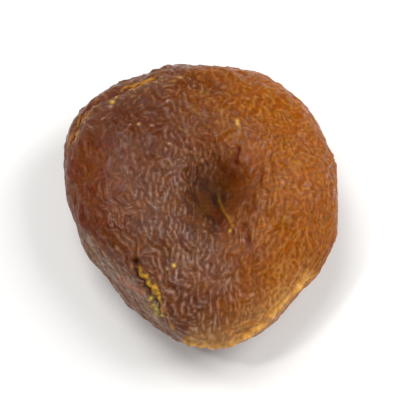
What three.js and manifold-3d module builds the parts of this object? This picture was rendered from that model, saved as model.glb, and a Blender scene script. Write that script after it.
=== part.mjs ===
// A whole dried apricot with its stone squeezed out: a flattened, wrinkled pebble of fruit with a
// dimple on top where the stone was, a flattened flank, and a short tear on that flank.
// Millimetres, +Z up. The fruit lies on a small flat spot; +Y runs from the stem end to the far end.
import * as THREE from "three";
import { mergeVertices } from "three/addons/utils/BufferGeometryUtils.js";
import Module from "manifold-3d";

// ---- driving dimensions ----
const PLAN_RADIUS = 17.9; // mean radius of the outline, seen from above
const HALF_THICKNESS = 7.6; // from the widest level up to the crown, and down to the underside
const PLUMPNESS = 2.35; // 2 gives a lens-like edge, more gives a fuller rim
const FLAT_SPOT_CUT = 0.55; // how much of the rounded underside is pressed flat
const STEM_END_THINNING = 0.18; // share by which the stem end is thinner than the middle
const THINNING_REACH = 19; // from the middle to where the stem end is thinnest

// The outline's bulges and flats: where round the fruit, how far out, and how wide an arc they take.
const OUTLINE_SWELLS = [
  { name: "left shoulder", degrees: 140, out: 2.4, spread: 26 },
  { name: "far end", degrees: 104, out: 1.0, spread: 16 },
  { name: "right shoulder", degrees: 62, out: 1.9, spread: 38 },
  { name: "left waist", degrees: 188, out: -1.3, spread: 20 },
  { name: "flat flank", degrees: 220, out: -1.4, spread: 22 },
  { name: "stem end", degrees: 279, out: 1.8, spread: 27 },
  { name: "notch beside the stem end", degrees: 315, out: -0.5, spread: 12 },
  { name: "right cheek", degrees: 342, out: 0.1, spread: 16 },
];

// Swells and hollows of the upper side: the place, the rise, and the reach to each side of it.
const UPPER_SWELLS = [
  { name: "broad hollow", at: [1.5, 1.5], rise: -1.6, left: 10, right: 7.5, front: 9, back: 8 },
  { name: "stone dimple", at: [1.6, 0.0], rise: -3.2, left: 3.6, right: 4, front: 4.8, back: 3.8 },
  { name: "valley to the stem end", at: [2.4, -4.5], rise: -0.8, left: 4, right: 2.6, front: 6, back: 4 },
  { name: "right cheek", at: [11.5, 1.0], rise: 1.0, left: 5, right: 5, front: 10, back: 9 },
  { name: "left cheek", at: [-10.0, 5.0], rise: 0.5, left: 6, right: 6, front: 7, back: 7 },
];

// The flank is a soft flat that faces out and up; points beyond its plane are pressed back onto it.
const FLANK_NORMAL = new THREE.Vector3(-0.7, -0.66, 0.24).normalize();
const FLANK_DISTANCE = 15.2; // from the fruit's middle to the flank's plane
const FLANK_SOFTNESS = 0.8; // how wide a bend joins the flank to the rest

// The tear that the stone was squeezed out of: its middle, just under the skin, and its directions.
const TEAR_MIDDLE = new THREE.Vector3(-5.1, -14.4, 10.2);
const TEAR_ALONG = new THREE.Vector3(4.0, -6.9, -3.6); // down to the stem end
const TEAR_OUTWARD = new THREE.Vector3(-0.38, -0.55, 0.74);
const TEAR_LENGTH = 9.2;
const TEAR_WIDTH = 1.1;
const TEAR_DEPTH = 1.5;

// How finely the box that becomes the skin is divided, across its long sides and up its short ones.
const SKIN_CELLS = 28;
const SKIN_CELLS_UP = 12;
const SKIN_BOX_HEIGHT = 0.43; // the box's height over its width, near the fruit's own

// ---- shape functions ----
function smoothStep(value, low, high) {
  return THREE.MathUtils.smoothstep(value, low, high);
}

// Distance from the middle to the outline in a direction, in radians.
function outlineRadius(angle) {
  let radius = PLAN_RADIUS;
  for (const swell of OUTLINE_SWELLS) {
    const turn = angle - THREE.MathUtils.degToRad(swell.degrees);
    const away = THREE.MathUtils.radToDeg(Math.atan2(Math.sin(turn), Math.cos(turn)));
    radius += swell.out * Math.exp(-((away / swell.spread) ** 2));
  }
  return radius;
}

// How much all the upper side's swells and hollows lift a point.
function upperRise(x, y) {
  let rise = 0;
  for (const swell of UPPER_SWELLS) {
    const dx = x - swell.at[0];
    const dy = y - swell.at[1];
    const across = dx / (dx < 0 ? swell.left : swell.right);
    const along = dy / (dy < 0 ? swell.front : swell.back);
    rise += swell.rise * Math.exp(-(across ** 2 + along ** 2));
  }
  return rise;
}

// Blows a point of the box out, along its ray from the middle, to the plump outline's surface.
function blowOut(point) {
  const across = Math.hypot(point.x, point.y) / outlineRadius(Math.atan2(point.y, point.x));
  const up = Math.abs(point.z) / HALF_THICKNESS;
  point.multiplyScalar((across ** PLUMPNESS + up ** PLUMPNESS) ** (-1 / PLUMPNESS));
}

// Thins the stem end, then raises and lowers the upper side.
function sinkAndSwell(point) {
  const upperShare = smoothStep(point.z / HALF_THICKNESS, 0, 0.75);
  point.z *= 1 - STEM_END_THINNING * smoothStep(-point.y, 0, THINNING_REACH);
  point.z += upperShare * upperRise(point.x, point.y);
}

// Presses the flank flat, with a soft bend where it meets the rest.
function pressFlank(point) {
  const beyond = (point.dot(FLANK_NORMAL) - FLANK_DISTANCE) / FLANK_SOFTNESS;
  const push = FLANK_SOFTNESS * Math.log1p(Math.exp(beyond));
  point.addScaledVector(FLANK_NORMAL, -push);
}

// ---- the fruit's skin, as one closed surface ----
function skinGeometry() {
  const box = new THREE.BoxGeometry(2, 2, 2, SKIN_CELLS, SKIN_CELLS, SKIN_CELLS_UP);
  box.deleteAttribute("normal");
  box.deleteAttribute("uv");
  const skin = mergeVertices(box, 1e-4);
  const place = skin.getAttribute("position");
  const point = new THREE.Vector3();
  const evenly = (value) => Math.tan((value * Math.PI) / 4); // keeps the cells alike once blown out
  let lowest = Infinity;
  for (let i = 0; i < place.count; i++) {
    point.fromBufferAttribute(place, i);
    point.set(evenly(point.x), evenly(point.y), SKIN_BOX_HEIGHT * evenly(point.z));
    blowOut(point);
    sinkAndSwell(point);
    pressFlank(point);
    lowest = Math.min(lowest, point.z);
    place.setXYZ(i, point.x, point.y, point.z);
  }
  const restLevel = lowest + FLAT_SPOT_CUT;
  for (let i = 0; i < place.count; i++) {
    place.setZ(i, Math.max(place.getZ(i) - restLevel, 0));
  }
  skin.computeBoundingBox();
  const centre = skin.boundingBox.getCenter(new THREE.Vector3());
  return skin.translate(-centre.x, -centre.y, 0);
}

// A thin lens as long as the tear, lying along it and sunk into the skin.
function tearGeometry() {
  const along = TEAR_ALONG.clone().normalize();
  const outward = TEAR_OUTWARD.clone().addScaledVector(along, -TEAR_OUTWARD.dot(along)).normalize();
  const across = outward.clone().cross(along);
  const lens = new THREE.SphereGeometry(1, 16, 12);
  lens.scale(TEAR_LENGTH / 2, TEAR_WIDTH / 2, TEAR_DEPTH);
  lens.applyMatrix4(new THREE.Matrix4().makeBasis(along, across, outward));
  return lens.translate(TEAR_MIDDLE.x, TEAR_MIDDLE.y, TEAR_MIDDLE.z);
}

// ---- booleans ----
const wasm = await Module();
wasm.setup();

function solidOf(geometry) {
  geometry.deleteAttribute("normal");
  geometry.deleteAttribute("uv");
  const merged = mergeVertices(geometry, 1e-4);
  return new wasm.Manifold(
    new wasm.Mesh({
      numProp: 3,
      vertProperties: merged.getAttribute("position").array,
      triVerts: new Uint32Array(merged.index.array),
    }),
  );
}

function geometryOf(solid) {
  const mesh = solid.getMesh();
  const geometry = new THREE.BufferGeometry();
  geometry.setAttribute("position", new THREE.BufferAttribute(mesh.vertProperties, 3));
  geometry.setIndex(new THREE.BufferAttribute(mesh.triVerts, 1));
  geometry.computeVertexNormals();
  return geometry;
}

// ---- the model ----
const driedSkin = new THREE.MeshStandardMaterial({ color: "#8a4e28", roughness: 0.5, metalness: 0 });

const fruit = solidOf(skinGeometry()).subtract(solidOf(tearGeometry()));
const apricot = new THREE.Mesh(geometryOf(fruit), driedSkin);
apricot.name = "apricot";

const driedApricot = new THREE.Group();
driedApricot.add(apricot);

export default driedApricot;
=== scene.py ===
# %% [markdown]
# # A whole dried apricot
# The real thing is one soft piece. A ripe apricot is dried whole, and its stone is squeezed out through a
# tear near the stem end. The skin then has far more area than the flesh beneath it needs, so it goes into
# fine wrinkles, and the place where the stone was sinks into a dimple.
# The lesson builds it as one closed surface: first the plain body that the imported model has, then wrinkles
# that are grown on the surface itself, and then folds, a tear and stripes along lines. The colours come
# last, out of the same numbers as the shape.

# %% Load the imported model
import math

import bpy
import numpy as np
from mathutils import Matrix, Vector


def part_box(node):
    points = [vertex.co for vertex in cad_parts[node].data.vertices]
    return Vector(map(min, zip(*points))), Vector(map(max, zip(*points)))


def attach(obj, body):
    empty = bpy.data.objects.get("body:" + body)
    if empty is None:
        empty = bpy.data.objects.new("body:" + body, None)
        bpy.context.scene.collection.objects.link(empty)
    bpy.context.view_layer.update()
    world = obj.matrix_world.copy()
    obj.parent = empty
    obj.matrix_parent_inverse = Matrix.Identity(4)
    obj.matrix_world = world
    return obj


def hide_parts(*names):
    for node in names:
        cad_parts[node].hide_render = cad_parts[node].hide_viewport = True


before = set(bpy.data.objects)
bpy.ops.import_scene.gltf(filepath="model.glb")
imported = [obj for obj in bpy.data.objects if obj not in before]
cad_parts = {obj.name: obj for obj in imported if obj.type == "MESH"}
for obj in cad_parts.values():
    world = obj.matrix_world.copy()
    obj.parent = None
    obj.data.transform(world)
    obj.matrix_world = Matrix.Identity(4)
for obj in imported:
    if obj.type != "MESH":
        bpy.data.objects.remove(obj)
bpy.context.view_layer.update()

MM = 0.001  # shapes are worked out in millimetres, and Blender's meshes are in metres
body_low, body_high = (np.array(corner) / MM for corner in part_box("apricot"))
print("body, mm:", np.round(body_low, 2), "to", np.round(body_high, 2))

# %% [markdown]
# ## Camera
# Most of what tells one dried apricot from another is on top: the dimple, the two cheeks and the tear. So
# the camera looks down steeply. A long lens far away draws the near and far rims at the same scale.

# %% Camera
CAMERA_HEIGHT_DEGREES = 66
LENS_MM = 100
SENSOR_MM = 36
VIEW_WIDTH = 52 * MM  # how much the picture takes in, level with the fruit's middle

middle = Vector((body_low + body_high) / 2 * MM)
rise = math.radians(CAMERA_HEIGHT_DEGREES)
toward_camera = Vector((0, -math.cos(rise), math.sin(rise)))
camera_data = bpy.data.cameras.new("camera")
camera_data.lens = LENS_MM
camera_data.sensor_width = SENSOR_MM
camera = bpy.data.objects.new("camera", camera_data)
camera.location = middle + toward_camera * (VIEW_WIDTH * LENS_MM / SENSOR_MM)
camera.rotation_euler = toward_camera.to_track_quat("Z", "Y").to_euler()
bpy.context.scene.collection.objects.link(camera)
bpy.context.scene.camera = camera
print("camera distance, mm:", round((camera.location - middle).length / MM))

# %% [markdown]
# ## Three helpers for materials
# A material is a tree of nodes, which are joined socket to socket. One helper turns a colour from the way
# that screens write it to the linear light that Blender works in, one starts an empty tree, and one adds a
# node to it with its settings and links.

# %% Three helpers for materials
def linear(hex_colour):
    """An sRGB hex colour as linear red, green, blue and a full alpha."""
    parts = [int(hex_colour[i : i + 2], 16) / 255 for i in (1, 3, 5)]
    return [p / 12.92 if p <= 0.04045 else ((p + 0.055) / 1.055) ** 2.4 for p in parts] + [1.0]


def add(tree, kind, settings=None, sockets=None):
    """Adds a node. Settings are its own properties. Sockets are values, or other nodes' outputs to link."""
    made = tree.nodes.new(kind)
    for name, value in (settings or {}).items():
        setattr(made, name, value)
    for name, value in (sockets or {}).items():
        if isinstance(value, bpy.types.NodeSocket):
            tree.links.new(value, made.inputs[name])
        else:
            made.inputs[name].default_value = value
    return made


def new_material(name):
    """An empty node material, and its tree."""
    material = bpy.data.materials.new(name)
    material.use_nodes = True
    material.node_tree.nodes.clear()
    return material, material.node_tree


print("half grey, as linear light:", round(linear("#808080")[0], 3))

# %% [markdown]
# ## Floor and light
# A pale paper floor and dim pale surroundings on all sides, as in a studio light tent. Large softboxes to
# the right and overhead give the skin a broad soft shine, a narrow one to the left puts small glints on the
# crests there, and weak ones in front and behind light the near and far rims.

# %% Floor and light
FLOOR_SIZE = 2.0  # m
TENT_STRENGTH = 0.16
SOFTBOXES = {  # place in m, width in m, power in W
    "right softbox": ((0.28, 0.08, 0.28), 0.24, 1.25),
    "overhead softbox": ((-0.12, 0.14, 0.40), 0.22, 0.95),
    "narrow left softbox": ((-0.22, -0.02, 0.36), 0.05, 0.34),
    "front softbox": ((0.02, -0.40, 0.14), 0.25, 0.45),
    "back softbox": ((-0.22, 0.36, 0.16), 0.20, 0.25),
}
PAPER_COLOUR = "#f2f1ef"
PAPER_ROUGHNESS = 0.9

world = bpy.data.worlds.new("light tent")
world.use_nodes = True
tent = world.node_tree.nodes["Background"].inputs
tent["Color"].default_value = linear("#ffffff")
tent["Strength"].default_value = TENT_STRENGTH
bpy.context.scene.world = world

for name, (lamp_place, lamp_size, lamp_power) in SOFTBOXES.items():
    lamp_data = bpy.data.lights.new(name, "AREA")
    lamp_data.size = lamp_size
    lamp_data.energy = lamp_power
    lamp = bpy.data.objects.new(name, lamp_data)
    lamp.location = lamp_place
    lamp.rotation_euler = (Vector(lamp_place) - middle).to_track_quat("Z", "Y").to_euler()
    bpy.context.scene.collection.objects.link(lamp)

floor_mesh = bpy.data.meshes.new("floor")
half = FLOOR_SIZE / 2
floor_corners = [(-half, -half, 0), (half, -half, 0), (half, half, 0), (-half, half, 0)]
floor_mesh.from_pydata(floor_corners, [], [(0, 1, 2, 3)])
floor = bpy.data.objects.new("floor", floor_mesh)
bpy.context.scene.collection.objects.link(floor)
paper, paper_tree = new_material("matt white paper")
paper_sockets = {"Base Color": linear(PAPER_COLOUR), "Roughness": PAPER_ROUGHNESS}
paper_skin = add(paper_tree, "ShaderNodeBsdfPrincipled", sockets=paper_sockets)
add(paper_tree, "ShaderNodeOutputMaterial", sockets={"Surface": paper_skin.outputs["BSDF"]})
floor_mesh.materials.append(paper)
bpy.context.scene.view_settings.view_transform = "Standard"
print(len(SOFTBOXES), "softboxes, W in all:", sum(power for _, _, power in SOFTBOXES.values()))

# %% [markdown]
# ## A box of cells to blow out
# A globe's grid crowds its lines at the poles, where wrinkles would pinch. Six square grids, as on a box
# that is blown out like a balloon, have nearly even cells everywhere, so every wrinkle has the same number
# of points to be drawn with.

# %% A box of cells
CELLS_LONG = 160
CELLS_UP = 72
BOX_HEIGHT = 0.43  # over its width, near the fruit's own
MERGE_DIGITS = 6  # points that agree to so many decimals are one


def box_skin():
    """Six grids as a box's faces. A point's place on its face is the tangent of an even turn from the
    middle, which keeps the cells alike once the box is blown out. Points that faces share are merged."""
    across = np.tan(np.linspace(-1, 1, CELLS_LONG + 1) * math.pi / 4)
    upward = np.tan(np.linspace(-1, 1, CELLS_UP + 1) * math.pi / 4)
    faces = [
        (across, lambda u, v: (u, v, 0 * u + BOX_HEIGHT)),
        (across, lambda u, v: (v, u, 0 * u - BOX_HEIGHT)),
        (upward, lambda u, v: (u, 0 * u - 1, BOX_HEIGHT * v)),
        (upward, lambda u, v: (-u, 0 * u + 1, BOX_HEIGHT * v)),
        (upward, lambda u, v: (0 * u + 1, u, BOX_HEIGHT * v)),
        (upward, lambda u, v: (0 * u - 1, -u, BOX_HEIGHT * v)),
    ]
    points, cells, count = [], [], 0
    for second, place in faces:
        u, v = np.meshgrid(across, second, indexing="ij")
        number = np.arange(u.size).reshape(u.shape) + count
        corners = [number[:-1, :-1], number[1:, :-1], number[1:, 1:], number[:-1, 1:]]
        points.append(np.stack(place(u, v), -1).reshape(-1, 3))
        cells.append(np.stack(corners, -1).reshape(-1, 4))
        count += u.size
    points = np.concatenate(points)
    kept, one_of = np.unique(points.round(MERGE_DIGITS), axis=0, return_index=True, return_inverse=True)[1:]
    return points[kept], one_of.reshape(-1)[np.concatenate(cells)]


box, cells = box_skin()
print("points:", len(box), "four-sided cells:", len(cells))

# %% [markdown]
# ## The body's sizes
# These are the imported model's own sizes, so the fine surface lies where the solid does: an outline with
# bulges and flats, a section between a lens and a pillow, hollows on top, and one flank that a neighbour
# pressed flat.

# %% The body's sizes
PLAN_RADIUS = 17.9
HALF_THICKNESS = 7.6
PLUMPNESS = 2.35  # the power p below: 2 is a lens, and more is a fuller pillow
FLAT_SPOT_CUT = 0.55
STEM_END_THINNING = 0.18
THINNING_REACH = 19
UPPER_SIDE = 0.75  # share of the half thickness above which hills have their full rise
OUTLINE_SWELLS = [  # where round the fruit in degrees, how far out, how wide an arc
    (140, 2.4, 26),  # left shoulder
    (104, 1.0, 16),  # far end
    (62, 1.9, 38),  # right shoulder
    (188, -1.3, 20),  # left waist
    (220, -1.4, 22),  # flat flank
    (279, 1.8, 27),  # stem end
    (315, -0.5, 12),  # notch beside the stem end
    (342, 0.1, 16),  # right cheek
]
UPPER_SWELLS = [  # place, rise, and the reach to the left, right, front and back
    ((1.5, 1.5), -1.6, (10, 7.5, 9, 8)),  # broad hollow
    ((1.6, 0.0), -3.2, (3.6, 4.0, 4.8, 3.8)),  # stone dimple
    ((2.4, -4.5), -0.8, (4, 2.6, 6, 4)),  # valley to the stem end
    ((11.5, 1.0), 1.0, (5, 5, 10, 9)),  # right cheek
    ((-10.0, 5.0), 0.5, (6, 6, 7, 7)),  # left cheek
]
FLANK_NORMAL = np.array([-0.7, -0.66, 0.24])
FLANK_NORMAL /= np.linalg.norm(FLANK_NORMAL)
FLANK_DISTANCE = 15.2  # of the flat flank from the middle
FLANK_SOFTNESS = 0.8
print("plain body, mm:", 2 * PLAN_RADIUS, "across,", 2 * HALF_THICKNESS, "thick")

# %% [markdown]
# ## Blowing the box out
# The body could be sculpted, but formulas can be checked and changed one number at a time. The box is blown
# out to the outline and section, its stem end is thinned, hills and hollows move its upper side up or down,
# and last the flank is pushed back to its flat.

# %% Blowing the box out
def smooth_step(value, low, high):
    """0 below low, 1 above high, and 3t² - 2t³ between them."""
    t = np.clip((value - low) / (high - low), 0, 1)
    return t * t * (3 - 2 * t)


def hill(x, y, at, reach):
    """exp(-(dx/reach)² - (dy/reach)²), with a reach of its own to the left, right, front and back."""
    left, right, front, back = reach
    dx, dy = x - at[0], y - at[1]
    return np.exp(-((dx / np.where(dx < 0, left, right)) ** 2 + (dy / np.where(dy < 0, front, back)) ** 2))


def blow_out(points):
    """Moves each point along its ray from the middle to where (plan/outline)^p + (height/half)^p = 1."""
    x, y, z = points.T
    angle = np.degrees(np.arctan2(y, x))
    outline = np.full_like(x, PLAN_RADIUS)
    for at, out, spread in OUTLINE_SWELLS:
        away = (angle - at + 180) % 360 - 180
        outline += out * np.exp(-((away / spread) ** 2))
    reach = (np.hypot(x, y) / outline) ** PLUMPNESS + (np.abs(z) / HALF_THICKNESS) ** PLUMPNESS
    return points * (reach ** (-1 / PLUMPNESS))[:, None]


def sink_and_swell(points):
    """Thins the stem end, then adds the hills and hollows to the upper side's height."""
    x, y, z = points.T
    upper = smooth_step(z / HALF_THICKNESS, 0, UPPER_SIDE)
    z = z * (1 - STEM_END_THINNING * smooth_step(-y, 0, THINNING_REACH))
    z = z + upper * sum(rise * hill(x, y, at, reach) for at, rise, reach in UPPER_SWELLS)
    return np.stack([x, y, z], 1)


def press_flank(points):
    """Pushes back what lies beyond the flank's plane: by softness x log(1 + exp(beyond / softness))."""
    beyond = points @ FLANK_NORMAL - FLANK_DISTANCE
    push = FLANK_SOFTNESS * np.logaddexp(0, beyond / FLANK_SOFTNESS)
    return points - push[:, None] * FLANK_NORMAL


def normals_of(points):
    """Each point's outward direction: the sum of its cells' normals, which are the cross products of
    their diagonals, made one long."""
    a, b, c, d = (points[corner] for corner in cells.T)
    each_cell = np.repeat(np.cross(c - a, d - b), 4, axis=0)
    total = np.stack([np.bincount(cells.ravel(), axis, len(points)) for axis in each_cell.T], 1)
    return total / np.linalg.norm(total, axis=1)[:, None]


body = press_flank(sink_and_swell(blow_out(box)))
body[:, 2] -= body[:, 2].min() + FLAT_SPOT_CUT
body[:, :2] += ((body_low + body_high - body.min(0) - body.max(0)) / 2)[:2]
outward = normals_of(body)
print("body from formulas, mm:", np.round(body.min(0), 2), "to", np.round(body.max(0), 2))

# %% [markdown]
# ## Diffusion on a surface
# Wrinkles have no map to be painted on: they have to follow the surface with no seam. So they are grown on
# it. The tool for that is diffusion, the way heat spreads through the skin from point to point. Spreading a
# random pattern a little gives soft spots of one size. Spreading can also run faster along one direction
# than across it, and then the spots come out long.

# %% Diffusion on a surface
LARGEST_STEP = 0.9  # share of its heat that a point may pass on in one step, as above 1 it overshoots


def heat_flow(points, conductivity):
    """How heat flows between neighbouring points: for each of the four triangles that a cell can be cut
    into, at half weight, area x (slope of one corner's hat) . (conductivity x slope of the other's), over
    the point's own area. A corner's hat is 1 there and 0 at the other corners. Returns each point's
    neighbours, their rates, and the fastest rate at which heat leaves any point."""
    a, b, c, d = cells.T
    triangles = np.concatenate([np.stack(t, 1) for t in ((a, b, c), (a, c, d), (a, b, d), (b, c, d))])
    p = points[triangles]
    opposite = np.stack([p[:, 2] - p[:, 1], p[:, 0] - p[:, 2], p[:, 1] - p[:, 0]], 1)
    cross = np.cross(opposite[:, 0], opposite[:, 1])
    double_area = np.linalg.norm(cross, axis=1)
    slope = np.cross((cross / double_area[:, None])[:, None, :], opposite) / double_area[:, None, None]
    flow = np.einsum("tij,tkj->tki", conductivity[triangles].mean(1), slope)
    quarter = 0.25 * double_area
    stiffness = np.einsum("tik,tjk->tij", slope, flow) * quarter[:, None, None]
    own_area = np.bincount(triangles.ravel(), np.repeat(quarter / 3, 3), len(points))
    one, other = np.repeat(triangles, 3, 1).ravel(), np.tile(triangles, (1, 3)).ravel()
    pair = one.astype(np.int64) * len(points) + other
    known, which = np.unique(pair, return_inverse=True)
    weight = -np.bincount(which.reshape(-1), stiffness.ravel()) / own_area[known // len(points)]
    row, column = known // len(points), known % len(points)
    slot = np.arange(len(known)) - np.searchsorted(row, np.arange(len(points)))[row]
    neighbour = np.zeros((len(points), slot.max() + 1), np.int32)
    rate = np.zeros(neighbour.shape, np.float32)
    neighbour[row, slot], rate[row, slot] = column, weight
    return neighbour, rate, -weight[row == column].min()


def spread(pattern, heat, reach):
    """Spreads a pattern as heat would in the time that carries it about reach mm, which is reach² / 2. It
    goes in equal steps, and each adds to a point its neighbours' values x their rates x the step's time."""
    neighbour, rate, fastest = heat
    time = reach * reach / 2
    steps = max(1, math.ceil(time * fastest / LARGEST_STEP))
    for _ in range(steps):
        pattern = pattern + np.float32(time / steps) * np.einsum("vk,vk->v", rate, pattern[neighbour])
    return pattern


print("heat flow will be worked out over", 4 * len(cells), "triangles")

# %% [markdown]
# ## Ridges and slow noise
# Two kinds of pattern come from here. Ridges of one spacing are grown out of random spots by diffusion, as
# stripes grow on a shell. Slow noise, a sum of waves, makes whatever it is added to less even, and needs
# only a point's place.

# %% Ridges and slow noise
SPACING_OVER_REACH = 6.5  # ridges come out so many times as far apart as the pattern is spread
CREST_LEVEL = 1.7  # how many times the pattern's usual height counts as 1
HIGHEST = 1.2  # where crests and valleys are cut off


def wrinkle_pattern(along, around, spacing, rounds, seed):
    """Random spots turned into ridges a spacing apart, from about -1 in a valley to 1 on a crest. Each
    round takes the pattern spread a little (along) less the pattern spread twice as far (around), and clips
    it softly: near neighbours help a ridge to grow, and farther ones hold it down."""
    pattern = np.random.default_rng(seed).standard_normal(len(body)).astype(np.float32)
    near = spacing / SPACING_OVER_REACH
    for _ in range(rounds):
        ridges = spread(pattern, along, near) - spread(pattern, around, 2 * near)
        pattern = np.tanh(ridges / ridges.std())
    return np.clip(ridges / (CREST_LEVEL * ridges.std()), -HIGHEST, HIGHEST)


def slow_noise(length, seed, waves=48):
    """A sum of plane waves in random directions, each 0.7 to 1.3 times length mm long. It is scaled so
    that its spread is about 1."""
    random = np.random.default_rng(seed)
    direction = random.standard_normal((waves, 3))
    direction /= np.linalg.norm(direction, axis=1)[:, None]
    turns_per_mm = random.uniform(0.75, 1.4, waves)[:, None] / length
    start = random.uniform(0, 2 * math.pi, waves)
    return np.cos(body @ (2 * math.pi * turns_per_mm * direction).T + start).sum(1) * math.sqrt(2 / waves)


print("spread of slow noise 5 mm long:", round(float(slow_noise(5.0, seed=31).std()), 2))

# %% [markdown]
# ## Which way the wrinkles run
# The skin shrinks most round the fruit's waist, so its ridges run from the stem end to the far end, as the
# lines of force run between two magnets' poles. Slow noise makes them wander, and behind the left shoulder
# they turn to run along the rim. A ridge has a direction but no sign, so each is written as direction x
# direction, a small table that heat flow can use.

# %% Which way the wrinkles run
STEM_POLE = np.array([2.5, -21.0, 7.0])
FAR_POLE = np.array([-1.0, 30.0, 8.0])
WANDER_DEGREES = 26
WANDER_LENGTH = 3.0
SHOULDER_TURN_DEGREES = 60  # how far ridges behind the left shoulder turn
NET_TURN_DEGREES = 38  # between the ridges and the net that crosses them
STRETCH_AT_STEM = 3.4  # how many times faster heat runs along a ridge than across it
STRETCH_AT_FAR_END = 3.0
NET_STRETCH_SHARE = 0.6  # how much of that stretch the net has
FAR_WANDER = 0.5  # how much more the ridges wander at the far end
FAR_COARSENESS = 0.15  # how much coarser they are there
COARSENESS_SPREAD = 0.25  # how much wider wrinkles are in some places than in others
COARSENESS_LENGTH = 8.0

x, y, z = body.T
far_top = smooth_step(y, 1, 12) * smooth_step(z, 6, 10)
wander = WANDER_DEGREES * (1 + FAR_WANDER * smooth_step(y, 0, 9)) * slow_noise(WANDER_LENGTH, seed=11)
along_rim = SHOULDER_TURN_DEGREES * smooth_step(y, 2, 10) * smooth_step(-x, -5, 6)
turn = np.radians(wander + along_rim)[:, None]
from_stem = body - STEM_POLE
to_far = FAR_POLE - body
lengthwise = from_stem / np.sum(from_stem**2, 1)[:, None] + to_far / np.sum(to_far**2, 1)[:, None]
lengthwise -= outward * np.sum(lengthwise * outward, 1)[:, None]
lengthwise /= np.linalg.norm(lengthwise, axis=1)[:, None]
lengthwise = np.cos(turn) * lengthwise + np.sin(turn) * np.cross(outward, lengthwise)
net_turn = math.radians(NET_TURN_DEGREES)
askew = math.cos(net_turn) * lengthwise + math.sin(net_turn) * np.cross(outward, lengthwise)

in_skin = np.eye(3) - outward[:, :, None] * outward[:, None, :]  # takes away what points out of the skin
coarseness = np.exp(COARSENESS_SPREAD * slow_noise(COARSENESS_LENGTH, seed=12))
coarseness *= 1 + FAR_COARSENESS * far_top


def faster_along(direction, factor):
    """How easily heat runs: coarseness x (1 in the skin + (factor - 1) x direction x direction)."""
    along = direction[:, :, None] * direction[:, None, :]
    return coarseness[:, None, None] * (in_skin + (factor - 1)[:, None, None] * along)


stretch = STRETCH_AT_FAR_END + (STRETCH_AT_STEM - STRETCH_AT_FAR_END) * smooth_step(-y, -8, 9)
along_ridges = heat_flow(body, faster_along(lengthwise, stretch))
along_net = heat_flow(body, faster_along(askew, 1 + NET_STRETCH_SHARE * (stretch - 1)))
every_way = heat_flow(body, faster_along(lengthwise, np.ones(len(body))))
print("the ridges turn by", round(float(np.degrees(turn).std())), "degrees, more or less")

# %% [markdown]
# ## Wrinkles in three sizes
# Close up, dried skin shows three sizes of wrinkle: ridges along the fruit, a wide net of thin lines that
# crosses and joins them, and wider swells under both. Two rounds are enough. With many rounds the ridges
# line up as neatly as a fingerprint, which skin never does.

# %% Wrinkles in three sizes
RIDGE_SPACING = 0.82
NET_SPACING = 1.5
SWELL_SPACING = 1.9
NET_LINE = 0.2  # how thin the net's lines are, as a share of its pattern's height
RIDGE_FOOT = -0.15  # where in its pattern a ridge begins to rise, and where it is at its top
RIDGE_TOP = 1.15
RIDGE_SHARE = 0.8
NET_SHARE_LEFT = 0.35
NET_SHARE_RIGHT = 0.6  # the plump right cheek shrank every way alike

ridges = wrinkle_pattern(along_ridges, every_way, RIDGE_SPACING, rounds=2, seed=1)
net = wrinkle_pattern(along_net, every_way, NET_SPACING, rounds=1, seed=5)
swells = wrinkle_pattern(along_ridges, every_way, SWELL_SPACING, rounds=2, seed=2)
on_net = np.exp(-((net / NET_LINE) ** 2))  # the net is drawn where its pattern passes through nought
rightward = smooth_step(x + 0.3 * y, -2, 8)
net_share = NET_SHARE_LEFT + (NET_SHARE_RIGHT - NET_SHARE_LEFT) * rightward
crest = np.clip(RIDGE_SHARE * smooth_step(ridges, RIDGE_FOOT, RIDGE_TOP) + net_share * on_net, 0, 1)
print("share of the skin that is crest:", round(float(np.mean(crest > 0.5)), 2))

# %% [markdown]
# ## Folds along lines
# Some folds are too particular to leave to chance: the creases that run out of the dimple, the slit in its
# wall, and the groove along the shoulder. Each is a line of a few places on the skin. For every point of
# the surface it is then worked out how far from the line it is, on which side, and how far along.

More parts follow.
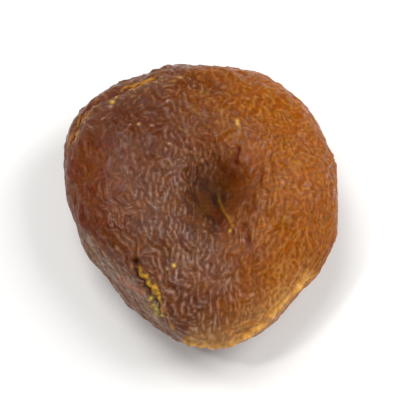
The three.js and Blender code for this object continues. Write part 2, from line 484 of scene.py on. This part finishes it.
# %% Folds along lines
SHOULDER_LINE = [
    (-16.8, 4.5, 10.5), (-16.2, 8.6, 10.5), (-14.6, 11.6, 10.8),
    (-11.4, 13.0, 11.6), (-7.8, 14.8, 11.7), (-4.0, 16.4, 11.5),
]
FOLD_LINE = [(2.1, 0.9, 9.9), (2.3, -1.2, 9.9), (2.9, -3.2, 10.9), (3.7, -4.8, 11.9), (4.3, -7.0, 12.7)]
LEDGE_LINE = [(-15.2, -2.2, 10.6), (-14.0, -5.0, 10.6), (-11.2, -8.8, 10.8), (-8.6, -11.4, 10.9)]
PIECES_PER_PLACE = 8
SOFTENING_ROUNDS = 6
FOLD_TAPER = 0.15  # share of a fold's length over which each end fades
RAGGEDNESS = 0.3  # how unevenly high a fold is
FOLDS = {  # places along it, height, half width
    "slit in the dimple wall": ([(5.0, 4.9, 13.1), (4.7, 3.8, 12.7), (4.4, 2.5, 12.0)], -0.3, 0.25),
    "slit in the cheek": ([(7.6, 1.6, 13.8), (7.4, 0.2, 13.8), (7.5, -1.0, 13.6)], -0.14, 0.22),
    "shelf behind the dimple": ([(-1.8, 1.6, 12.0), (-0.3, 2.8, 11.8), (1.6, 3.7, 11.9)], 0.14, 0.45),
    "fold below the dimple": (FOLD_LINE, 0.3, 0.2),
    "crease beside the fold": ([(1.7, -1.6, 9.9), (2.3, -4.0, 11.0), (3.2, -6.4, 12.2)], -0.32, 0.45),
    "crease in the cheek": ([(5.2, -5.4, 12.8), (5.6, -7.2, 13.0), (6.1, -9.0, 12.9)], -0.28, 0.36),
    "rim of the hollow": ([(-4, 4, 13.4), (-0.5, 5.6, 12.8), (3.2, 6.8, 13.2), (6, 9.6, 13.4)], 0.14, 0.7),
    "shoulder groove": (SHOULDER_LINE, -0.35, 0.5),
    "upper flank ledge": (LEDGE_LINE, -0.2, 0.55),
    "fold in the flank": ([(-10.4, -11.0, 8.6), (-8.1, -12.9, 9.7), (-6.6, -14.0, 10.2)], 0.28, 0.5),
}


def line_distance(places):
    """The places are joined by a broken line, which is softened by averaging each point with its
    neighbours. Returns, for each point of the skin: its distance from the line, its offset sideways along
    line x outward, and the share of the line passed at the nearest spot."""
    knots = np.linspace(0, 1, len(places))
    share = np.linspace(0, 1, PIECES_PER_PLACE * (len(places) - 1) + 1)
    line = np.stack([np.interp(share, knots, axis) for axis in np.array(places).T], 1)
    for _ in range(SOFTENING_ROUNDS):
        line[1:-1] = (line[:-2] + 2 * line[1:-1] + line[2:]) / 4
    nearest, side, passed = np.full(len(body), np.inf), np.zeros(len(body)), np.zeros(len(body))
    for start, end, low, high in zip(line[:-1], line[1:], share[:-1], share[1:]):
        along = end - start
        t = np.clip((body - start) @ along / (along @ along), 0, 1)
        offset = body - start - t[:, None] * along
        distance = np.linalg.norm(offset, axis=1)
        closer = distance < nearest
        across = np.cross(along, outward)
        sideways = np.sum(offset * across, 1) / np.linalg.norm(across, axis=1)
        nearest[closer], side[closer] = distance[closer], sideways[closer]
        passed[closer] = (low + t * (high - low))[closer]
    return nearest, side, passed


def taper(passed, start, end):
    """Fades a line in over its first share and out over its last."""
    return smooth_step(passed, 0, start) * smooth_step(1 - passed, 0, end)


def bell(value, width):
    """exp(-(value/width)²): 1 at nought, and small beyond the width."""
    return np.exp(-((value / width) ** 2))


ragged = slow_noise(1.3, seed=21)
fold_height = np.zeros(len(body))
fold_traces = {}  # 1 along the middle of each fold
for name, (places, rise_mm, half_width) in FOLDS.items():
    distance, _, passed = line_distance(places)
    fold_traces[name] = taper(passed, FOLD_TAPER, FOLD_TAPER) * bell(distance, half_width)
    fold_height += rise_mm * (1 + RAGGEDNESS * ragged) * fold_traces[name]
print(len(FOLDS), "folds, mm:", round(fold_height.min(), 2), "to", round(fold_height.max(), 2))

# %% [markdown]
# ## The tear
# The stone came out through a tear beside the stem end. It has closed again as the fruit dried: a pit
# where it starts, a thread of yellow flesh along it with a dark gap on one side, a thin lip down to the
# stem end, and crumbs of flesh that dried on the skin beside it.

# %% The tear
TEAR_LINE = [
    (-7.7, -10.6, 11.8), (-6.8, -12.2, 11.6), (-5.7, -13.6, 11.2), (-4.9, -14.9, 10.8),
    (-4.3, -16.1, 10.2), (-3.6, -17.2, 9.4), (-2.8, -18.4, 8.2),
]
PIT_PLACE = (-7.9, -10.4, 11.8)
SHADE_PLACE = (-4.9, -17.0, 8.9)
SHADE_RADIUS = 0.45
TEAR_REACH = 1.6  # how far from its line the tear changes the skin
THREAD_END = 0.48  # how far down the line the thread of flesh reaches
THREAD_HALF_WIDTH = 0.34
THREAD_HEIGHT = 0.05
GAP_OFFSET = 0.62  # to the left of the line
GAP_HALF_WIDTH = 0.22
GAP_DEPTH = 0.48
SWELLING_OFFSET = 0.8  # to its right
SWELLING_HALF_WIDTH = 0.4
SWELLING_HEIGHT = 0.15
LIP_HALF_WIDTH = 0.2
LIP_HEIGHT = 0.2
LIP_SHADE_OFFSET = 0.45
LIP_SHADE_HALF_WIDTH = 0.25
PIT_DEPTH = 0.8
PIT_RADIUS = 0.42
CRUMB_HEIGHT = 0.32
CRUMBS = [  # place and radius
    ((-6.0, -14.6, 10.2), 0.34), ((-5.8, -15.3, 9.8), 0.42), ((-5.2, -15.8, 9.7), 0.48),
    ((-6.6, -15.2, 8.6), 0.4), ((-5.5, -16.3, 9.0), 0.38), ((-4.6, -16.4, 9.6), 0.26),
    ((-6.2, -16.0, 8.4), 0.25),
]


def spot(place, radius):
    """1 at a place on the skin, fading as exp(-(distance/radius)²)."""
    return bell(np.linalg.norm(body - np.array(place), axis=1), radius)


tear_distance, tear_side, passed = line_distance(TEAR_LINE)
tear_side = tear_side + 0.12 * ragged + 0.08 * slow_noise(0.8, seed=22)
close_by = np.exp(-((tear_distance / TEAR_REACH) ** 6))
on_thread = close_by * smooth_step(passed, 0.01, 0.06) * smooth_step(THREAD_END + 0.1 - passed, 0, 0.12)
on_lip = close_by * smooth_step(passed, THREAD_END - 0.05, THREAD_END + 0.05)
on_lip *= smooth_step(1 - passed, 0, 0.1)
thread = on_thread * np.exp(-((tear_side / THREAD_HALF_WIDTH) ** 4))
gap = on_thread * bell(tear_side - GAP_OFFSET, GAP_HALF_WIDTH)
swollen_side = on_thread * bell(tear_side + SWELLING_OFFSET, SWELLING_HALF_WIDTH)
pit = spot(PIT_PLACE, PIT_RADIUS)
lip = on_lip * bell(tear_side, LIP_HALF_WIDTH)
lip_shade = on_lip * bell(tear_side - LIP_SHADE_OFFSET, LIP_SHADE_HALF_WIDTH)
lip_shade += spot(SHADE_PLACE, SHADE_RADIUS)
crumbly = smooth_step(slow_noise(0.7, seed=24), -1.2, 0.2)
crumbs = crumbly * np.max([spot(place, radius) for place, radius in CRUMBS], 0)
tear_height = THREAD_HEIGHT * thread + SWELLING_HEIGHT * swollen_side + LIP_HEIGHT * lip
tear_height += CRUMB_HEIGHT * crumbs - GAP_DEPTH * gap - PIT_DEPTH * pit
print("tear, mm:", round(tear_height.min(), 2), "to", round(tear_height.max(), 2))

# %% [markdown]
# ## Stripes along the rims
# Where the skin bends sharply it wrinkles along the bend. The left shoulder has gold and brown stripes
# beside its groove, the flank that was pressed has long soft ones, and the lower right rim has a thin
# raised edge. A stripe is a wave of the distance across, shifted by slow noise. The widths are in mm.

# %% Stripes along the rims
EDGE_LINE = [
    (-2.6, -18.6, 7.8), (-1.0, -19.2, 7.4), (2.0, -19.6, 7.4), (4.1, -19.2, 7.6), (6.4, -18.1, 8.0),
    (8.4, -16.2, 8.6), (10.3, -14.2, 8.8), (12.9, -11.4, 8.4), (14.7, -9.4, 7.8),
]
FLANK_STRIPE_WAY = np.array([4.9, -7.8, -3.6])
SHOULDER_STRIPE_SPACING = 0.95
FLANK_STRIPE_SPACING = 1.7
SHOULDER_STRIPE_HEIGHT = 0.08
FLANK_STRIPE_HEIGHT = 0.1
EDGE_HEIGHT = 0.3
EDGE_HALF_WIDTH = 0.5
STRIPES_MIDDLE = 0.3  # to the side of the groove
STRIPES_HALF_WIDTH = 1.1
STRIPES_REACH = 1.8
PRESSED_DEPTH = 1.1  # how far behind the flank's most forward point the pressed skin ends

edge_distance, _, edge_passed = line_distance(EDGE_LINE)
on_edge = taper(edge_passed, 0.1, 0.12)
shoulder_distance, shoulder_side, shoulder_passed = line_distance(SHOULDER_LINE)
on_shoulder = taper(shoulder_passed, FOLD_TAPER, FOLD_TAPER)
off_middle = (shoulder_side - STRIPES_MIDDLE) / STRIPES_HALF_WIDTH
near_shoulder = on_shoulder * np.exp(-(off_middle**4) - (shoulder_distance / STRIPES_REACH) ** 4)
shoulder_turns = shoulder_side / SHOULDER_STRIPE_SPACING + 0.3 * slow_noise(6.0, seed=25)
shoulder_waves = np.sin(2 * math.pi * shoulder_turns)
shoulder_stripes = near_shoulder * shoulder_waves
patches_of_gold = smooth_step(slow_noise(3.5, seed=26), -0.4, 0.9)
gold_stripes = near_shoulder * smooth_step(shoulder_waves, 0.1, 1.0) * patches_of_gold

across_flank = np.cross(FLANK_NORMAL, FLANK_STRIPE_WAY)
across_flank /= np.linalg.norm(across_flank)
flank_turns = body @ across_flank / FLANK_STRIPE_SPACING + 0.35 * slow_noise(5.0, seed=27)
forward = body @ FLANK_NORMAL
most_forward = forward.max()
forward = forward + 0.25 * slow_noise(2.5, seed=32)
pressed = smooth_step(forward, most_forward - PRESSED_DEPTH, most_forward) * smooth_step(z, 4, 7.5)
flank_stripes = pressed * np.sin(2 * math.pi * flank_turns)

rim_height = EDGE_HEIGHT * on_edge * (1 + 0.4 * ragged) * bell(edge_distance, EDGE_HALF_WIDTH)
rim_height += SHOULDER_STRIPE_HEIGHT * shoulder_stripes + FLANK_STRIPE_HEIGHT * flank_stripes
print("rims, mm:", round(rim_height.min(), 2), "to", round(rim_height.max(), 2))

# %% [markdown]
# ## Zones of skin
# One side ripened in the sun and dried orange, the other dried red and brown. Dust and sugar from the
# drying dull the middle, and a painted sheen makes it mauve. Two zones are painted light: a painted
# reflection outside the shoulder, and painted shade below the dimple. All the zones are soft hills and
# steps, with borders moved by slow noise so that none looks drawn. Some are smoother than the rest, as the
# red cheek, where the flesh fills the skin.

# %% Zones of skin
HILL_ZONES = {  # middle, and the reach to the left, right, front and back
    "brown shoulder": ((-9.5, 9.0), (5, 7, 6, 5)),
    "dimple floor": ((1.2, -1.2), (2.6, 2.7, 4.2, 3.0)),
    # painted shade: this zone darkens the valley below the dimple
    "painted shade below the dimple": ((1.2, -4.6), (2.6, 2.6, 3.0, 3.6)),
    "dimple wall": ((4.4, 0.2), (2.2, 2.2, 4.2, 3.4)),
    "cheek bulge": ((6.4, 3.4), (1.0, 1.8, 2.2, 2.2)),
}
RED_CHEEK = ((-11.8, 3.0), (6, 5.5, 8, 6.5))
DUST_AND_SHEEN_MIDDLE = ((-4.0, -2.5), (8, 6.5, 20, 14))
ORANGE_BELOW = 0.35  # share of the orange that the underside keeps
SMOOTHER = {  # how much of the wrinkling each zone has lost
    "red cheek": 0.75,
    "dimple wall": 0.7,
    "dimple floor": 0.85,
    "cheek bulge": 0.5,
    "pressed flank": 0.75,
}
SMOOTHEST = 0.88  # the most that any skin has lost

upper = smooth_step(z, 3.5, 8)
border = slow_noise(5.0, seed=31)
toward_right = x + 0.15 * np.maximum(y, 0) + 1.2 * border
toward_middle = x + 0.25 * (y + 4) + 0.6 * border
outer_side = smooth_step(shoulder_side, 0.1, 0.8) * bell(shoulder_distance, STRIPES_REACH)
zones = {name: upper * hill(x, y, at, reach) for name, (at, reach) in HILL_ZONES.items()}
zones["orange cheek"] = smooth_step(toward_right, -2, 13) * (ORANGE_BELOW + (1 - ORANGE_BELOW) * upper)
zones["red cheek"] = upper * hill(x + border, y, *RED_CHEEK)
# the middle's dust, and a painted sheen that makes it mauve
zones["middle with dust and sheen"] = hill(toward_middle, y, *DUST_AND_SHEEN_MIDDLE) * smooth_step(z, 5, 9)
zones["tip with dust and sheen"] = smooth_step(-y, 11, 16)
zones["pressed flank"] = pressed
# painted reflection: a grey band outside the shoulder groove, as the pale surroundings would mirror in skin
# seen at a grazing angle
zones["outer shoulder"] = on_shoulder * outer_side
smooth_skin = np.clip(sum(share * zones[name] for name, share in SMOOTHER.items()), 0, SMOOTHEST)
for name, zone in zones.items():
    print(name, "covers", round(100 * float(zone.mean()), 1), "% of the skin")

# %% [markdown]
# ## One surface
# Every height is added along the body's outward direction, and not up, so that the rims wrinkle as the top
# does. The underside is then pressed flat where it would go below the floor, as a soft fruit lies on a
# table: its height becomes softness x log(1 + exp(height / softness)), which bends at the flat's edge.

# %% One surface
WRINKLE_HEIGHT = 0.095
SWELL_HEIGHT = 0.10
LUMP_HEIGHT = 0.14
LUMP_LENGTH = 6.5
FLOOR_SOFTNESS = 0.15
DIMPLE_BOTTOM_DEPTH = 0.6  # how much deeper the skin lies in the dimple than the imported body
DIMPLE_BOTTOM = ((1.2, -0.5), (1.9, 1.9, 3.0, 2.4))
PATCHINESS = 0.3  # how much wrinkles come and go
PATCH_LENGTH = 3.2
ORANGE_STRENGTH = 0.25  # how much higher they are on the orange cheek
FAR_WEAKNESS = 0.3  # how much lower at the far end

patchy = np.clip(1 + PATCHINESS * slow_noise(PATCH_LENGTH, seed=4), 0.5, 1.6)
strength = patchy * (1 - smooth_skin) * (1 + ORANGE_STRENGTH * zones["orange cheek"])
strength *= 1 - FAR_WEAKNESS * far_top
height = WRINKLE_HEIGHT * strength * crest
height += SWELL_HEIGHT * swells * (1 - smooth_skin)
height += LUMP_HEIGHT * slow_noise(LUMP_LENGTH, seed=3) * (1 - smooth_skin)
height -= DIMPLE_BOTTOM_DEPTH * hill(x, y, *DIMPLE_BOTTOM) * smooth_step(z, 5, 8)
height += fold_height + tear_height + rim_height
fruit = body + outward * height[:, None]
fruit[:, 2] = FLOOR_SOFTNESS * np.logaddexp(0, fruit[:, 2] / FLOOR_SOFTNESS)
fruit[:, 2] -= fruit[:, 2].min()
print("fruit, mm:", np.round(fruit.min(0), 2), "to", np.round(fruit.max(0), 2))

mesh = bpy.data.meshes.new("wrinkled_apricot")
mesh.from_pydata((fruit * MM).tolist(), [], cells.tolist())
mesh.polygons.foreach_set("use_smooth", np.ones(len(cells), bool))
fruit_piece = bpy.data.objects.new("wrinkled_apricot", mesh)
bpy.context.scene.collection.objects.link(fruit_piece)
print("triangles:", 2 * len(cells))

# %% [markdown]
# ## Glazes
# The skin is coloured as a painter would glaze it: one brown ground, then thin layers, each with a mask
# that says where it goes, and a strength. An image would need the skin unfolded, and plain noise would not
# know the shape. These masks are worked out on the mesh's own points, so a crest's dust and painted sheen
# sit exactly on that crest. Broad colours of the zones come first, with painted reflections on the shoulder
# and the flank, the dimple floor's dark colour with painted shade, and painted shade below it. Then come
# painted shade in the valleys and dust and painted sheen on the crests, and last the small things: creases
# with painted shade, gold streaks, a painted glow on the rims, painted glints and a painted highlight,
# flecks and the tear.

# %% Glazes
GROUND = "#652f0d"  # the flesh's brown
# creases that get a red colour and painted shade
RED_SHADED_CREASES = [
    "slit in the dimple wall", "slit in the cheek", "crease beside the fold", "crease in the cheek",
    "shoulder groove", "upper flank ledge",
]
SHELTERED = {"dimple floor": 0.9, "red cheek": 0.75, "dimple wall": 0.6}  # how far dust, painted sheen and painted glints keep off them
DUST_AND_SHEEN_EVERYWHERE = 0.22
DUST_AND_SHEEN = {"middle with dust and sheen": 0.32, "tip with dust and sheen": 0.26, "red cheek": -0.12}  # what each zone adds to that
FLECKS = [  # x, y and radius
    (-11.4, 11.6, 0.28), (-11.0, 12.5, 0.22), (4.8, 8.1, 0.2), (4.8, 7.7, 0.2),
    (-3.2, -11.1, 0.24), (-7.8, 7.6, 0.14), (3.7, -6.4, 0.18), (-2.6, 15.0, 0.2),
]

orange = zones["orange cheek"]
brown = 1 - orange
relief = crest * (0.5 + 0.5 * strength)
open_skin = np.prod([1 - share * zones[name] for name, share in SHELTERED.items()], 0)
# the crests' dust and sugar bloom, and a painted sheen on them
dust_and_sheen_crests = smooth_step(relief, 0.15, 1.0) * open_skin
# painted shade: the valleys between crests are darkened by the two valley glazes
sunk = 1 - smooth_step(relief, 0.05, 0.5)
dust_and_sheen = DUST_AND_SHEEN_EVERYWHERE + sum(share * zones[name] for name, share in DUST_AND_SHEEN.items())
# painted glints: small pale spots on crests that stand in for highlights
painted_glints = smooth_step(slow_noise(1.4, seed=43), 1.2, 2.4) * smooth_step(crest, 0.1, 0.8) * open_skin * brown
mottle = smooth_step(slow_noise(3.0, seed=41), -1.2, 1.2)
streaky = smooth_step(slow_noise(1.6, seed=23), -0.6, 0.9)
shaded_creases = np.max([fold_traces[name] for name in RED_SHADED_CREASES], 0)
flecks = upper * np.max([bell(np.hypot(x - at_x, y - at_y), radius) for at_x, at_y, radius in FLECKS], 0)
golden = np.maximum(0.8 * gold_stripes, 0.34 * fold_traces["fold below the dimple"] ** 2)
# painted glow: a golden band near the lower right rim and a bright line on its raised edge, as light shining
# through the thin skin
painted_rim_glow = on_edge * bell(edge_distance, 2.6) * smooth_step(z, 5.5, 7.8)
painted_edge_glow = on_edge * bell(edge_distance, 0.55) * (0.15 + 0.75 * streaky)
layers = {  # mask, strength, colour
    "orange_cheek": (orange, 1.0, "#8b4a03"),
    "red_cheek": (zones["red cheek"], 1.0, "#7c2b00"),
    # dust and a painted sheen in the middle
    "middle_dust_and_sheen": (zones["middle with dust and sheen"], 1.0, "#613823"),
    # painted shade in the valley below the dimple
    "painted_shade_below_dimple": (zones["painted shade below the dimple"], 0.9, "#382010"),
    "dimple_wall": (zones["dimple wall"], 0.9, "#551f03"),
    # the dimple floor's own dark brown and painted shade of the pit, glazed almost black
    "dimple_floor_colour_and_shade": (zones["dimple floor"], 1.0, "#130700"),
    "cheek_bulge": (zones["cheek bulge"], 0.7, "#8c4103"),
    # painted reflection: the pressed flank is glazed grey, as the pale surroundings would mirror in it, and
    # streaked along its stripes
    "painted_flank_reflection": (pressed * (0.7 + 0.25 * flank_stripes), 1.0, "#a18a78"),
    # painted reflection: the grey band outside the shoulder groove
    "painted_shoulder_reflection": (zones["outer shoulder"], 0.6, "#7c6450"),
    "honey_mottle": (mottle, 0.3, "#85500f"),
    "brown_shoulder": (zones["brown shoulder"], 0.75, "#4f2008"),
    # painted glow near the lower right rim
    "painted_rim_glow": (painted_rim_glow, 0.65, "#c89450"),
    # painted shade in the valleys, brown on one side and saturated orange on the orange cheek
    "brown_valley_shade": (sunk * brown, 0.46, "#481c06"),
    "orange_valley_shade": (sunk * orange, 0.65, "#823a00"),
    # pale crests: dust and a painted sheen, straw-coloured at the far end and tan on the orange cheek
    "crest_dust_and_painted_sheen": (dust_and_sheen * dust_and_sheen_crests * brown * (1 - 0.6 * far_top), 0.85, "#a38272"),
    "straw_crest_dust_and_sheen": (dust_and_sheen_crests * far_top * (1 - 0.5 * orange), 0.28, "#a87c3c"),
    "tan_crest_colour_and_sheen": (dust_and_sheen_crests * orange, 0.26, "#c08434"),
    # red colour and painted shade in the creases and in the slit of the dimple wall
    "red_crease_colour_and_shade": (shaded_creases, 0.75, "#5e1f04"),
    "wall_slit_colour_and_shade": (fold_traces["slit in the dimple wall"], 0.75, "#641a00"),
    # painted highlight along the fold in the flank
    "flank_fold_painted_highlight": (fold_traces["fold in the flank"], 0.55, "#b06a50"),
    # painted glints on crests
    "painted_glint_dots": (painted_glints, 0.3, "#cfb4a6"),
    # painted glow on the rim's raised edge
    "painted_edge_glow": (painted_edge_glow, 1.0, "#e8ac48"),
    "gold_streaks": (golden, 1.0, "#c9902a"),
    "flecks": (flecks, 0.85, "#dcae48"),
    "tear_shade": (np.clip(gap + pit + lip_shade, 0, 1), 0.9, "#3a1505"),
    "tear_lip": (lip, 0.8, "#a87433"),
}
point_masks = {name: share * mask for name, (mask, share, _) in layers.items()}
point_masks["flesh"] = thread
point_masks["crumbs"] = crumbs
for name, mask in point_masks.items():
    mesh.attributes.new(name, "FLOAT", "POINT").data.foreach_set("value", mask.astype(np.float32))
print(len(layers), "layers over the ground")

# %% [markdown]
# ## The skin's colour
# This is the dried skin of a fruit: thin, tough and see-through, over brown flesh. Each glaze is one mixing
# step over the last, with its mask read from the mesh. Up close such skin is never one clean colour, so
# fine noise makes it about a fifth lighter and darker. Its real grain is finer than 0.3 mm, and is drawn
# coarser here so that it shows. The flesh in the tear goes on top. It dried grainy, so noise with grains
# under a millimetre mixes its light and dark yellows.

# %% The skin's colour
FINE_MOTTLE = 0.55 * MM
FLESH_GRAIN = 0.7 * MM
MOTTLE_RANGE = {"From Min": 0.35, "From Max": 0.65, "To Min": 0.78, "To Max": 1.22}
GRAIN_RANGE = {"From Min": 0.4, "From Max": 0.62}
FLESH_COLOURS = {"flesh": ("#70501a", "#c8962a"), "crumbs": ("#8c6a14", "#d3bd4c")}  # dark, light
SHARE, UNDER, OVER, MIXED = 0, 6, 7, 2  # a colour mix's sockets go by number, as some of its names repeat
GLAZE = {"data_type": "RGBA"}
TINT = {"data_type": "RGBA", "blend_type": "MULTIPLY"}

skin, tree = new_material("dried apricot skin")
place = add(tree, "ShaderNodeTexCoord").outputs["Object"]
colour = linear(GROUND)
for name, (_, _, tint) in layers.items():
    mask = add(tree, "ShaderNodeAttribute", {"attribute_name": name}).outputs["Fac"]
    glaze = add(tree, "ShaderNodeMix", GLAZE, {SHARE: mask, UNDER: colour, OVER: linear(tint)})
    colour = glaze.outputs[MIXED]

noise_sockets = {"Vector": place, "Scale": 1 / FINE_MOTTLE, "Detail": 4.0}
fine = add(tree, "ShaderNodeTexNoise", sockets=noise_sockets).outputs["Fac"]
shade = add(tree, "ShaderNodeMapRange", sockets={"Value": fine, **MOTTLE_RANGE}).outputs["Result"]
mottled = add(tree, "ShaderNodeMix", TINT, {SHARE: 1.0, UNDER: colour, OVER: shade})
colour = mottled.outputs[MIXED]

noise_sockets = {"Vector": place, "Scale": 1 / FLESH_GRAIN, "Detail": 3.0}
grains = add(tree, "ShaderNodeTexNoise", sockets=noise_sockets).outputs["Fac"]
grain = add(tree, "ShaderNodeMapRange", sockets={"Value": grains, **GRAIN_RANGE}).outputs["Result"]
for name, (dark, light) in FLESH_COLOURS.items():
    mask = add(tree, "ShaderNodeAttribute", {"attribute_name": name}).outputs["Fac"]
    shades = {SHARE: grain, UNDER: linear(dark), OVER: linear(light)}
    flesh = add(tree, "ShaderNodeMix", GLAZE, shades).outputs[MIXED]
    laid = add(tree, "ShaderNodeMix", GLAZE, {SHARE: mask, UNDER: colour, OVER: flesh})
    colour = laid.outputs[MIXED]
print(len(tree.nodes), "nodes make the colour")

# %% [markdown]
# ## Gloss, grit and glow
# Dried skin is leathery, with damp patches that shine, so the roughness is blotched. The dust on it dulls
# the shine, so the specular level is low. Grit of sugar makes it slightly rough to the touch, as bumps too
# fine for the mesh. Light goes a millimetre or so into the flesh and comes back red, which is subsurface
# scattering with the longest path for red. Sugary flesh bends light a little more than water does, so its
# IOR is 1.45.

# %% Gloss, grit and glow
GRIT_SIZE = 0.3 * MM
GRIT_DEPTH = 0.06 * MM
DAMP_PATCH = 1.2 * MM
DRY_ROUGHNESS = 0.5
DAMP_ROUGHNESS = 0.22
DIMPLE_DULLNESS = 0.4  # added to the roughness in the dimple
GLOW_DEPTH = 1.2 * MM
GLOW_REACH = (1.0, 0.3, 0.08)  # how far red, green and blue light goes, as shares of that
DAMP_RANGE = {
    "From Min": 0.45, "From Max": 0.62, "To Min": DRY_ROUGHNESS, "To Max": DAMP_ROUGHNESS,
}

noise_sockets = {"Vector": place, "Scale": 1 / GRIT_SIZE, "Detail": 2.0}
grit = add(tree, "ShaderNodeTexNoise", sockets=noise_sockets).outputs["Fac"]
bump_sockets = {"Strength": 0.6, "Distance": GRIT_DEPTH, "Height": grit}
bump = add(tree, "ShaderNodeBump", sockets=bump_sockets).outputs["Normal"]

noise_sockets = {"Vector": place, "Scale": 1 / DAMP_PATCH, "Detail": 2.0}
damp = add(tree, "ShaderNodeTexNoise", sockets=noise_sockets).outputs["Fac"]
blotched = add(tree, "ShaderNodeMapRange", sockets={"Value": damp, **DAMP_RANGE}).outputs["Result"]
in_dimple = add(tree, "ShaderNodeAttribute", {"attribute_name": "dimple_floor_colour_and_shade"}).outputs["Fac"]
dulling = {"operation": "MULTIPLY_ADD", "use_clamp": True}  # the first x the second + the third
roughness = add(tree, "ShaderNodeMath", dulling, {0: in_dimple, 1: DIMPLE_DULLNESS, 2: blotched})

surface = add(tree, "ShaderNodeBsdfPrincipled", sockets={
    "Base Color": colour,
    "Roughness": roughness.outputs["Value"],
    "IOR": 1.45,
    "Specular IOR Level": 0.2,
    "Normal": bump,
    "Subsurface Weight": 0.25,
    "Subsurface Radius": GLOW_REACH,
    "Subsurface Scale": GLOW_DEPTH,
})
add(tree, "ShaderNodeOutputMaterial", sockets={"Surface": surface.outputs["BSDF"]})
mesh.materials.append(skin)
print(skin.name, "has", len(tree.nodes), "nodes")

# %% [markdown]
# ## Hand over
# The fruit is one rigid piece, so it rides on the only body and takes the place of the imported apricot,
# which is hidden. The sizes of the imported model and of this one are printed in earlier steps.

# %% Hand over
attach(fruit_piece, "root")
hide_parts("apricot")
